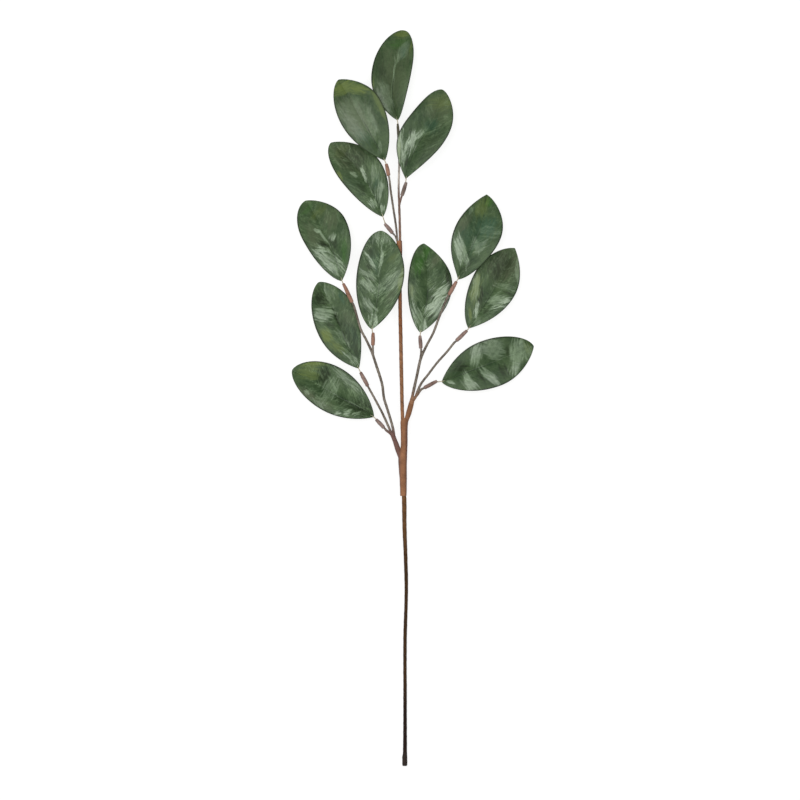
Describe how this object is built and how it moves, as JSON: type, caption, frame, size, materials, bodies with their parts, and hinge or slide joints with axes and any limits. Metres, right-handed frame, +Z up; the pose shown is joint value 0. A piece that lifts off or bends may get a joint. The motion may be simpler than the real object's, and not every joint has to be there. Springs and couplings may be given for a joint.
{
  "type": "magnolia leaf branch",
  "caption": "Artificial magnolia branch lying flat: glossy leathery leaves on thin twigs, taped to a long wrapped stem.",
  "frame": {"origin": "on the surface that the branch lies on, under the middle of its box", "axes": "+Y along the stem from the cut end to the top leaf, +Z up from the surface, towards the faces of the leaves"},
  "size_m": [0.2572, 0.7806, 0.0304],
  "materials": {
    "leaf": "leathery satin gloss with fine veins",
    "stem": "matte wrapped, darker towards the cut end",
    "twig": "matte, ribbed",
    "sleeve": "matte reddish brown",
    "wrap": "matte brown stem tape"
  },
  "bodies": {
    "root": {"main_stem": "stem", "left_branch": "twig", "right_branch": "twig", "top_twig": "twig", "fork_wrap": "wrap", "top_wrap": "wrap", "sleeve_top": "sleeve", "leaf_top": "leaf", "sleeve_top_left": "sleeve", "leaf_top_left": "leaf", "sleeve_top_low": "sleeve", "leaf_top_low": "leaf", "sleeve_top_right": "sleeve", "leaf_top_right": "leaf", "sleeve_left_outer": "sleeve", "leaf_left_outer": "leaf", "sleeve_left_inner": "sleeve", "leaf_left_inner": "leaf", "sleeve_left_middle": "sleeve", "leaf_left_middle": "leaf", "sleeve_left_low": "sleeve", "leaf_left_low": "leaf", "sleeve_right_inner": "sleeve", "leaf_right_inner": "leaf", "sleeve_right_upper": "sleeve", "leaf_right_upper": "leaf", "sleeve_right_outer": "sleeve", "leaf_right_outer": "leaf", "sleeve_right_low": "sleeve", "leaf_right_low": "leaf"}
  },
  "joints": []
}
